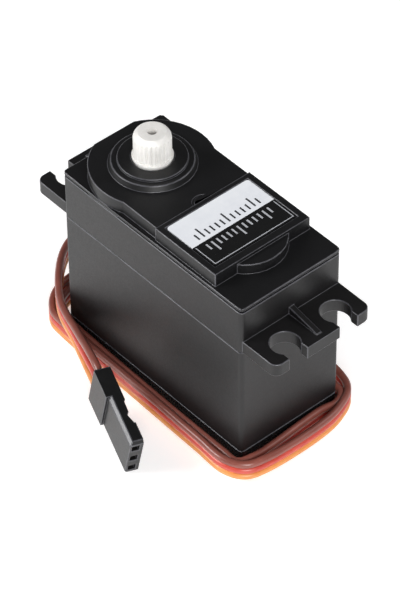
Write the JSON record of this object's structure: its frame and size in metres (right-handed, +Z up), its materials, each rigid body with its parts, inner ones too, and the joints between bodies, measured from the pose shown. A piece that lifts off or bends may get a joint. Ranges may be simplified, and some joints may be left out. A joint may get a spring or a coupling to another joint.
{
  "type": "servo motor",
  "caption": "Servo motor in a rectangular plastic case with open-slotted mounting ears, a splined output shaft on an internal gear train, and a three-wire ribbon lead ending in a flat plug.",
  "frame": {"origin": "centre of the case's footprint on its bottom face", "axes": "+X along the case away from the output shaft, +Y across the case, +Z up along the output shaft"},
  "size_m": [0.0588, 0.0378, 0.0423],
  "materials": {
    "case_plastic": "finely textured black nylon, slightly glossy edges",
    "label_film": "printed film, silver-white and black bands, no lettering",
    "screw_steel": "zinc-plated, cross recess",
    "pin_steel": "ground bright",
    "output_nylon": "white moulded nylon, satin",
    "gear_nylon": "white moulded nylon, satin",
    "pinion_brass": "machined",
    "bearing_steel": "polished bearing steel",
    "cage_nylon": "natural nylon",
    "motor_steel": "drawn, nickel-plated",
    "motor_plastic": "black moulded",
    "magnet_ferrite": "sintered ferrite",
    "core_iron": "stacked laminations",
    "coil_copper": "enamelled copper wire",
    "commutator_copper": "turned copper",
    "brush_carbon": "pressed carbon",
    "pot_plastic": "dark moulded",
    "pot_carbon": "printed carbon track",
    "pot_metal": "nickel brass",
    "pot_wire": "insulated wire",
    "board_laminate": "green solder mask",
    "chip_epoxy": "moulded epoxy",
    "capacitor_sleeve": "shrink sleeve",
    "grommet_rubber": "moulded rubber",
    "lead_pvc": "three bonded wires, brown, red and orange insulation",
    "plug_nylon": "black moulded nylon, satin",
    "contact_metal": "plated spring contact"
  },
  "bodies": {
    "case": {"bottom_cover": "case_plastic", "middle_case": "case_plastic", "gear_case": "case_plastic", "top_cover": "case_plastic", "label": "label_film", "case_screw_1": "screw_steel", "case_screw_2": "screw_steel", "case_screw_3": "screw_steel", "case_screw_4": "screw_steel", "centre_pin": "pin_steel", "upper_pin": "pin_steel", "bearing_outer_ring": "bearing_steel", "motor_can": "motor_steel", "motor_end_cap": "motor_plastic", "motor_magnet_1": "magnet_ferrite", "motor_magnet_2": "magnet_ferrite", "motor_brush_1": "brush_carbon", "motor_brush_2": "brush_carbon", "pot_housing": "pot_plastic", "pot_base": "pot_plastic", "pot_track": "pot_carbon", "pot_wire_1": "pot_wire", "pot_wire_2": "pot_wire", "pot_wire_3": "pot_wire", "circuit_board": "board_laminate", "control_chip": "chip_epoxy", "driver_chip": "chip_epoxy", "smoothing_capacitor": "capacitor_sleeve", "lead_grommet": "grommet_rubber", "lead_root": "lead_pvc", "lead": "lead_pvc", "plug_housing": "plug_nylon", "plug_contact_1": "contact_metal", "plug_contact_2": "contact_metal", "plug_contact_3": "contact_metal"},
    "output": {"output_gear": "output_nylon", "bearing_inner_ring": "bearing_steel", "pot_shaft": "pot_metal", "pot_wiper": "pot_metal"},
    "ball_set": {"bearing_cage": "cage_nylon", "bearing_ball_1": "bearing_steel", "bearing_ball_2": "bearing_steel", "bearing_ball_3": "bearing_steel", "bearing_ball_4": "bearing_steel", "bearing_ball_5": "bearing_steel", "bearing_ball_6": "bearing_steel", "bearing_ball_7": "bearing_steel"},
    "third_gear": {"third_gear": "gear_nylon"},
    "second_gear": {"second_gear": "gear_nylon"},
    "first_gear": {"first_gear": "gear_nylon"},
    "rotor": {"motor_shaft": "pin_steel", "armature_core": "core_iron", "armature_coil_1": "coil_copper", "armature_coil_2": "coil_copper", "armature_coil_3": "coil_copper", "commutator": "commutator_copper", "motor_pinion": "pinion_brass"}
  },
  "joints": [
    {"name": "output_turn", "type": "hinge", "parent": "case", "child": "output", "pos_m": [-0.0108, 0, 0.03], "axis": [0, 0, 1], "range_deg": [-95, 95]},
    {"name": "ball_set_turn", "type": "hinge", "parent": "case", "child": "ball_set", "pos_m": [-0.0108, 0, 0.03], "axis": [0, 0, 1], "range_deg": [-41.1, 41.1]},
    {"name": "third_gear_turn", "type": "hinge", "parent": "case", "child": "third_gear", "pos_m": [-0.0012, 0, 0.03], "axis": [0, 0, 1], "range_deg": [-361.1, 361.1]},
    {"name": "second_gear_turn", "type": "hinge", "parent": "case", "child": "second_gear", "pos_m": [0.00755, 0, 0.03], "axis": [0, 0, 1], "range_deg": [-1444.1, 1444.1]},
    {"name": "first_gear_turn", "type": "hinge", "parent": "case", "child": "first_gear", "pos_m": [-0.0012, 0, 0.03], "axis": [0, 0, 1], "range_deg": [-5776.1, 5776.1]},
    {"name": "rotor_turn", "type": "hinge", "parent": "case", "child": "rotor", "pos_m": [0.0081, 0, 0.03], "axis": [0, 0, 1], "range_deg": [-24066.8, 24066.8]}
  ],
  "couplings": [
    {"joint": "third_gear_turn", "follows": "output_turn", "ratio": -3.8},
    {"joint": "second_gear_turn", "follows": "output_turn", "ratio": 15.2},
    {"joint": "first_gear_turn", "follows": "output_turn", "ratio": -60.8},
    {"joint": "rotor_turn", "follows": "output_turn", "ratio": 253.33},
    {"joint": "ball_set_turn", "follows": "output_turn", "ratio": 0.4321}
  ]
}
